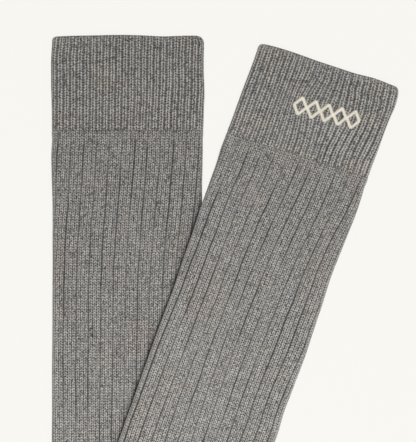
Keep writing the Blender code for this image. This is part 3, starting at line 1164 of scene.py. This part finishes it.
def knit_material(kind):
    """Heathered yarn in knitted loops. The knit map counts needles across and courses down."""
    name = f"heather_{kind}"
    if name in bpy.data.materials:
        return bpy.data.materials[name]
    yarn = bpy.context.scene.sock_yarn
    shader = Shader(name)
    place = shader.node("ShaderNodeUVMap", {"uv_map": "knit"}, {})
    needle = shader.node("ShaderNodeSeparateXYZ", {}, [place])
    course = Number(shader, needle.socket.node.outputs[1])
    spot = shader.node("ShaderNodeTexCoord", {}, {}, output="Object")
    dusk = shader.attribute("dusk")
    crisp = shader.attribute("crisp")

    off_middle = (needle.fraction() * 2.0 - 1.0).size()
    wobble = shader.noise(shader.vector(needle * 0.8, course * 0.5), 1.0, 1.0) - 0.5
    loop = course - off_middle * LOOP_SLANT + wobble * 0.2
    leg = needle * 2.0
    valley = (leg.fraction() * 2.0 - 1.0).size()
    gap = (loop.fraction() * 2.0 - 1.0).size()
    between = yarn.middle_shade + (1.0 - yarn.middle_shade) * off_middle
    line, row = CUFF_SHADE if kind == "cuff" else PLAIN_SHADE
    # The pits hold painted shade between the legs of a loop and between loops; they also sink the bump
    pits = (valley ** 1.3) * (line + (LOOP_SHADE - line) * (gap ** 1.6)) * between + row * (gap ** 3.0)
    luck = shader.chance(shader.vector(leg.floor(), loop.floor()))
    grain = shader.chance(shader.vector((leg * 2.0).floor(), (loop * 3.0).floor(), 5.0))
    slope = course * 0.9 - off_middle * 1.2
    strand = shader.noise(shader.vector(leg * 1.6, slope, luck * 5.0), 1.3, 3.0, 0.7)
    fluff = shader.noise(spot, FLUFF_SCALE, 0.0)
    patch = shader.noise(spot, PATCH_SCALE, 2.0)
    cloud = shader.noise(spot, CLOUD_SCALE, 1.0)

    heather = (luck - 0.5) * yarn.speckle + (strand - 0.5) * yarn.strand + (fluff - 0.5) * yarn.fluff
    heather = heather + (grain - 0.5) * yarn.grain
    # The tone attribute brings painted light and shade from the folds and the patches
    light = (yarn.level + heather * crisp + (patch - 0.5) * yarn.patch + shader.attribute("tone")).clamp()
    base = shader.blend(light, colour(yarn.dark), colour(yarn.light))
    warm = ((cloud - 0.52) * 5.0).clamp() * CLOUD_TINT + ((luck - 0.80) * 5.0).clamp() * LOOP_TINT
    base = shader.blend(warm.clamp(), base, colour(WARM_TINT), "MULTIPLY")
    cool = ((0.46 - cloud) * 5.0).clamp() * CLOUD_TINT + ((0.20 - luck) * 5.0).clamp() * LOOP_TINT
    base = shader.blend(cool.clamp(), base, colour(COOL_TINT), "MULTIPLY")
    # Painted shade: in the pits between loops, and from the attribute with the grooves, the cuff's foot and
    # the contact line
    shade = (1.0 - (pits * crisp).clamp() * yarn.gap_shade) * (1.0 - dusk.clamp() * yarn.groove_shade)
    shader.set(Base_Color=shader.scale_colour(base, shade))
    bump_height = (strand * STRAND_HEIGHT + fluff * FLUFF_HEIGHT) - pits.clamp() * PIT_DEPTH
    bump = shader.node("ShaderNodeBump", {}, {"Strength": 0.7, "Distance": 1.0, "Height": bump_height})
    shader.set(Normal=bump, Roughness=0.95, Sheen_Weight=0.2, Sheen_Roughness=0.6)
    shader.set(Specular_IOR_Level=0.12)
    return shader.material


def thread_material():
    """Cream embroidery thread with a slight sheen."""
    yarn = bpy.context.scene.sock_yarn
    shader = Shader("cream_thread")
    spot = shader.node("ShaderNodeTexCoord", {}, {}, output="Object")
    fine = shader.noise(spot, THREAD_SCALE, 2.0)
    soft = shader.noise(spot, 300.0, 1.0)
    light = (0.60 + (fine - 0.5) * 0.9 + (soft - 0.5) * 0.6).clamp()
    base = shader.blend(light, colour(DARK_THREAD), colour(yarn.thread))
    height = fine * THREAD_HEIGHT
    bump = shader.node("ShaderNodeBump", {}, {"Strength": 0.4, "Distance": 1.0, "Height": height})
    shader.set(Base_Color=base, Normal=bump, Roughness=0.40, Sheen_Weight=0.6)
    return shader.material


# ---------------------------------------------------------------------------------------------------
# Embroidery


def badge_place(x, y):
    """The place on the upper cuff of a point of the embroidery, x along it and y towards the mouth."""
    cos, sin = math.cos(BADGE_TURN), math.sin(BADGE_TURN)
    across = UPPER.cuff_width / 2 + BADGE_ACROSS + x * cos - y * sin
    along = BADGE_ALONG - (x * sin + y * cos)
    px, py = plan_point(UPPER, np.array(along), np.array(across / UPPER.cuff_width))
    return float(px), float(py), float(lift_at(UPPER, px, py)) + THICKNESS


def satin_strokes():
    """The strokes of a chain of lozenges, each from one point to another of the embroidery."""
    pitch = BADGE_LENGTH / LOZENGES
    strokes = []
    for number in range(LOZENGES):
        middle = (number + 0.5) * pitch - BADGE_LENGTH / 2
        tips = ((-pitch / 2, 0.0), (0.0, BADGE_HEIGHT / 2), (pitch / 2, 0.0), (0.0, -BADGE_HEIGHT / 2))
        corners = [(middle + x * BADGE_WIDTH_SHARE, y * BADGE_HEIGHT_SHARE) for x, y in tips]
        strokes += list(zip(corners, corners[1:] + corners[:1]))
    return strokes


def add_stitch(mesh, start, end):
    """One satin stitch: a slim closed grain arched from one end to the other."""
    made = bmesh.ops.create_uvsphere(mesh, u_segments=6, v_segments=8, radius=1.0)["verts"]
    start, end = Vector(start), Vector(end)
    run = end - start
    side = Vector((0, 0, 1)).cross(run).normalized()
    for vertex in made:
        share = vertex.co.z * 0.5 + 0.5
        bow = 4.0 * share * (1.0 - share)
        place = start + run * share + side * (vertex.co.x * THREAD_RADIUS)
        vertex.co = place + Vector((0, 0, vertex.co.y * THREAD_RADIUS + STITCH_RISE * bow))


def embroider(material):
    """The generic embroidered row: satin-stitched lozenges tip to tip."""
    mesh = bmesh.new()
    wobble = np.random.default_rng(5)
    for (x0, y0), (x1, y1) in satin_strokes():
        length = math.hypot(x1 - x0, y1 - y0)
        normal = (-(y1 - y0) / length, (x1 - x0) / length)
        count = round(length / THREAD_PITCH)
        for k in range(count + 1):
            share = k / count
            half = STROKE_WIDTH / 2 * (1 + STROKE_UNEVENNESS * wobble.uniform(-1, 1))
            x, y = x0 + (x1 - x0) * share, y0 + (y1 - y0) * share
            start = badge_place(x - normal[0] * half, y - normal[1] * half)
            end = badge_place(x + normal[0] * half, y + normal[1] * half)
            add_stitch(mesh, start, end)
    bmesh.ops.recalc_face_normals(mesh, faces=mesh.faces)
    data = bpy.data.meshes.new("lozenge_embroidery")
    mesh.to_mesh(data)
    mesh.free()
    data.shade_smooth()
    return finish_piece(data, "lozenge_embroidery", material)


# ---------------------------------------------------------------------------------------------------
# The stage

# The photograph's width in pixels and the size of a pixel on the socks, the camera, the floor and the lamps
PHOTO_WIDTH = 416
PIXEL = 0.000567
CAMERA_HEIGHT = 2.4
SENSOR = 36.0
FLOOR_PAINT = 0.04
FLOOR_DROP = 0.0004
FLOOR_SIZE = 6.0
Lamp = namedtuple("Lamp", "name place aimed_at size")
KEY_LAMP = Lamp("key_lamp", (-0.03, -0.10, 0.38), (-0.03, -0.06, 0.0), 0.30)
SIDE_LAMP = Lamp("side_lamp", (0.80, 0.10, 0.60), (0.0, 0.05, 0.0), 0.50)


def set_stage():
    """A pale floor, soft light from all round and a long lens straight above."""
    look = bpy.context.scene.sock_stage
    floor_mesh = bmesh.new()
    bmesh.ops.create_grid(floor_mesh, x_segments=8, y_segments=8, size=FLOOR_SIZE)
    data = bpy.data.meshes.new("floor")
    floor_mesh.to_mesh(data)
    floor_mesh.free()
    floor = bpy.data.objects.new("floor", data)
    floor.location = (0.0, 0.0, -FLOOR_DROP)
    bpy.context.scene.collection.objects.link(floor)
    data.materials.append(floor_material(look))

    world = bpy.data.worlds.new("studio")
    world.use_nodes = True
    sky = world.node_tree.nodes["Background"]
    sky.inputs["Color"].default_value = colour(look.floor_colour)
    sky.inputs["Strength"].default_value = look.fill
    bpy.context.scene.world = world

    add_lamp(KEY_LAMP, look.key)
    add_lamp(SIDE_LAMP, look.side)

    lens = SENSOR * CAMERA_HEIGHT / (PHOTO_WIDTH * PIXEL)
    camera_data = bpy.data.cameras.new("overhead")
    camera_data.sensor_fit = "HORIZONTAL"
    camera_data.sensor_width = SENSOR
    camera_data.lens = lens
    camera_data.clip_start = 0.05
    camera_data.clip_end = 50.0
    camera = bpy.data.objects.new("overhead", camera_data)
    camera.location = (SHIFT_X, SHIFT_Y, CAMERA_HEIGHT)
    bpy.context.scene.collection.objects.link(camera)
    bpy.context.scene.camera = camera
    bpy.context.scene.view_settings.view_transform = "Standard"


def floor_material(look):
    """A pale floor, lit evenly from within so that only a trace of shadow shows on it."""
    material = bpy.data.materials.new("pale_floor")
    material.use_nodes = True
    shader = material.node_tree.nodes["Principled BSDF"]
    shader.inputs["Base Color"].default_value = colour([part * FLOOR_PAINT for part in look.floor_colour])
    shader.inputs["Roughness"].default_value = 1.0
    shader.inputs["Specular IOR Level"].default_value = 0.0
    shader.inputs["Emission Color"].default_value = colour(look.floor_colour)
    shader.inputs["Emission Strength"].default_value = look.floor_glow
    return material


def add_lamp(lamp, power):
    """A square soft lamp, which no camera sees."""
    data = bpy.data.lights.new(lamp.name, "AREA")
    data.shape = "SQUARE"
    data.size = lamp.size
    data.energy = power
    made = bpy.data.objects.new(lamp.name, data)
    made.visible_camera = False
    aim = Vector(lamp.aimed_at) - Vector(lamp.place)
    made.matrix_world = Matrix.Translation(lamp.place) @ aim.to_track_quat("-Z", "Y").to_matrix().to_4x4()
    bpy.context.scene.collection.objects.link(made)


# ---------------------------------------------------------------------------------------------------
# The add-on


class SockYarn(bpy.types.PropertyGroup):
    """Colours and character of the yarns."""

    dark: bpy.props.FloatVectorProperty(
        name="Dark fibre",
        description="Darkest colour of the heather",
        subtype="COLOR",
        size=3,
        default=(0.0370, 0.0360, 0.0348),
    )
    light: bpy.props.FloatVectorProperty(
        name="Light fibre",
        description="Lightest colour of the heather",
        subtype="COLOR",
        size=3,
        default=(0.588, 0.573, 0.551),
    )
    thread: bpy.props.FloatVectorProperty(
        name="Embroidery thread",
        description="Colour of the embroidered row",
        subtype="COLOR",
        size=3,
        default=(1.0, 0.955, 0.85),
    )
    level: bpy.props.FloatProperty(
        name="Level", description="Share of light fibre in the heather", default=0.626, min=0.0, max=1.0
    )
    speckle: bpy.props.FloatProperty(
        name="Speckle", description="How much one loop differs from the next", default=0.28, min=0.0, max=2.0
    )
    grain: bpy.props.FloatProperty(
        name="Grain",
        description="How much one stretch of yarn differs from the next",
        default=0.85,
        min=0.0,
        max=2.0,
    )
    strand: bpy.props.FloatProperty(
        name="Strand", description="Streaks along the yarn", default=0.55, min=0.0, max=2.0
    )
    fluff: bpy.props.FloatProperty(
        name="Fluff", description="Fine fibre noise", default=0.75, min=0.0, max=2.0
    )
    patch: bpy.props.FloatProperty(
        name="Patches", description="Soft lighter and darker patches", default=0.13, min=0.0, max=2.0
    )
    middle_shade: bpy.props.FloatProperty(
        name="Middle shade",
        description="Darkening in the middle of a loop against that beside it",
        default=0.75,
    )
    gap_shade: bpy.props.FloatProperty(
        name="Gap shade", description="Darkening between the loops", default=1.00, min=0.0, max=1.0
    )
    groove_shade: bpy.props.FloatProperty(
        name="Groove shade",
        description="Darkening in the grooves of the ribs",
        default=0.80,
        min=0.0,
        max=1.0,
    )


class SockStage(bpy.types.PropertyGroup):
    """Floor and light."""

    floor_colour: bpy.props.FloatVectorProperty(
        name="Floor",
        description="Colour of the pale floor and of the light that fills the room",
        subtype="COLOR",
        size=3,
        default=(0.939, 0.930, 0.888),
    )
    floor_glow: bpy.props.FloatProperty(
        name="Floor glow", description="How much of the floor's paleness is its own light", default=0.96
    )
    fill: bpy.props.FloatProperty(
        name="Fill", description="Strength of the light from all round", default=0.52
    )
    key: bpy.props.FloatProperty(
        name="Key lamp", description="Power of the lamp above the feet", default=1.25, subtype="POWER"
    )
    side: bpy.props.FloatProperty(
        name="Side lamp", description="Power of the lamp on the right", default=1.5, subtype="POWER"
    )


class SOCKS_OT_cuffs(bpy.types.Operator):
    """Knit both cuffs in one-and-one rib"""

    bl_idname = "socks.cuffs"
    bl_label = "Knit Cuffs"

    def execute(self, context):
        knit_both("cuff")
        return {"FINISHED"}


class SOCKS_OT_legs(bpy.types.Operator):
    """Knit both legs in three-and-one rib"""

    bl_idname = "socks.legs"
    bl_label = "Knit Legs"

    def execute(self, context):
        knit_both("leg")
        return {"FINISHED"}


class SOCKS_OT_heels(bpy.types.Operator):
    """Turn both heels"""

    bl_idname = "socks.heels"
    bl_label = "Turn Heels"

    def execute(self, context):
        knit_both("heel")
        return {"FINISHED"}


class SOCKS_OT_feet(bpy.types.Operator):
    """Knit both feet with a ribbed instep and a plain sole"""

    bl_idname = "socks.feet"
    bl_label = "Knit Feet"

    def execute(self, context):
        knit_both("foot")
        return {"FINISHED"}


class SOCKS_OT_toes(bpy.types.Operator):
    """Knit and close both toes"""

    bl_idname = "socks.toes"
    bl_label = "Close Toes"

    def execute(self, context):
        knit_both("toe")
        return {"FINISHED"}


class SOCKS_OT_embroidery(bpy.types.Operator):
    """Embroider a row of lozenges on the upper cuff"""

    bl_idname = "socks.embroidery"
    bl_label = "Embroider Cuff"

    def execute(self, context):
        embroider(thread_material())
        return {"FINISHED"}


class SOCKS_OT_stage(bpy.types.Operator):
    """Set the floor, the lamps and the camera"""

    bl_idname = "socks.stage"
    bl_label = "Set Stage"

    def execute(self, context):
        set_stage()
        return {"FINISHED"}


OPERATORS = (
    SOCKS_OT_stage,
    SOCKS_OT_cuffs,
    SOCKS_OT_legs,
    SOCKS_OT_heels,
    SOCKS_OT_feet,
    SOCKS_OT_toes,
    SOCKS_OT_embroidery,
)


class SOCKS_PT_panel(bpy.types.Panel):
    """The steps of the pair, in order"""

    bl_idname = "SOCKS_PT_panel"
    bl_label = "Ribbed Socks"
    bl_space_type = "VIEW_3D"
    bl_region_type = "UI"
    bl_category = "Socks"

    def draw(self, context):
        for group in (context.scene.sock_yarn, context.scene.sock_stage):
            for name in group.__annotations__:
                self.layout.prop(group, name)
        for operator in OPERATORS:
            self.layout.operator(operator.bl_idname)


CLASSES = (SockYarn, SockStage, *OPERATORS, SOCKS_PT_panel)


def register():
    for made in CLASSES:
        bpy.utils.register_class(made)
    bpy.types.Scene.sock_yarn = bpy.props.PointerProperty(type=SockYarn)
    bpy.types.Scene.sock_stage = bpy.props.PointerProperty(type=SockStage)


def unregister():
    del bpy.types.Scene.sock_stage
    del bpy.types.Scene.sock_yarn
    for made in reversed(CLASSES):
        bpy.utils.unregister_class(made)


def main():
    register()
    bpy.ops.socks.stage()
    bpy.ops.socks.cuffs()
    bpy.ops.socks.legs()
    bpy.ops.socks.heels()
    bpy.ops.socks.feet()
    bpy.ops.socks.toes()
    bpy.ops.socks.embroidery()


if __name__ == "__main__":
    main()
